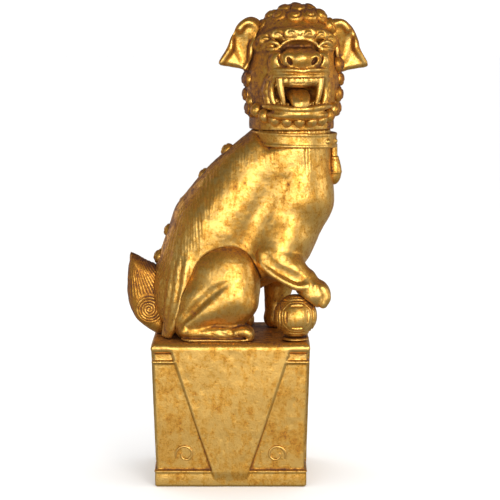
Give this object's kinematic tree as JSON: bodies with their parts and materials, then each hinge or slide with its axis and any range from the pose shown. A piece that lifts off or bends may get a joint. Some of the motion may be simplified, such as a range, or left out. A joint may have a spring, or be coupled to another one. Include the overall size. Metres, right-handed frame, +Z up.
{
  "type": "foo dog statue",
  "caption": "Gilded guardian lion seated on a tall draped plinth, head turned to one side and one forepaw resting on a ball; free-standing ornament.",
  "frame": {"origin": "centre of the plinth's underside, on the surface the statue stands on", "axes": "+Z up; +X the way the lion's body faces; the head is turned to look along -Y"},
  "size_m": [0.3018, 0.157, 0.5994],
  "materials": {
    "gilding": "gold leaf over a red-brown ground on cast resin, antiqued with dark glaze in the hollows",
    "felt": "dark pressed felt",
    "timber": "unfinished softwood board",
    "steel": "zinc plated",
    "insert_brass": "turned brass"
  },
  "bodies": {
    "root": {"felt_sheet": "felt", "base_board": "timber", "glue_blocks": "timber", "board_screws": "steel", "plinth_shell": "gilding", "figure_bolts": "steel", "bolt_washers": "steel", "threaded_inserts": "insert_brass", "torso_shell": "gilding", "right_hind_leg": "gilding", "left_hind_leg": "gilding", "right_foreleg": "gilding", "left_foreleg": "gilding", "tail": "gilding", "head_shell": "gilding", "lower_jaw": "gilding", "tongue": "gilding", "teeth": "gilding", "right_ear": "gilding", "left_ear": "gilding", "crown_curls": "gilding", "mane_curls": "gilding", "beard_curls": "gilding", "spine_curls": "gilding", "collar": "gilding", "bell": "gilding", "ball": "gilding", "ball_foot": "gilding", "ball_pin": "steel", "neck_dowel": "steel", "tail_dowel": "steel", "foreleg_dowels": "steel", "hind_leg_dowels": "steel", "ear_dowels": "steel"}
  },
  "joints": []
}
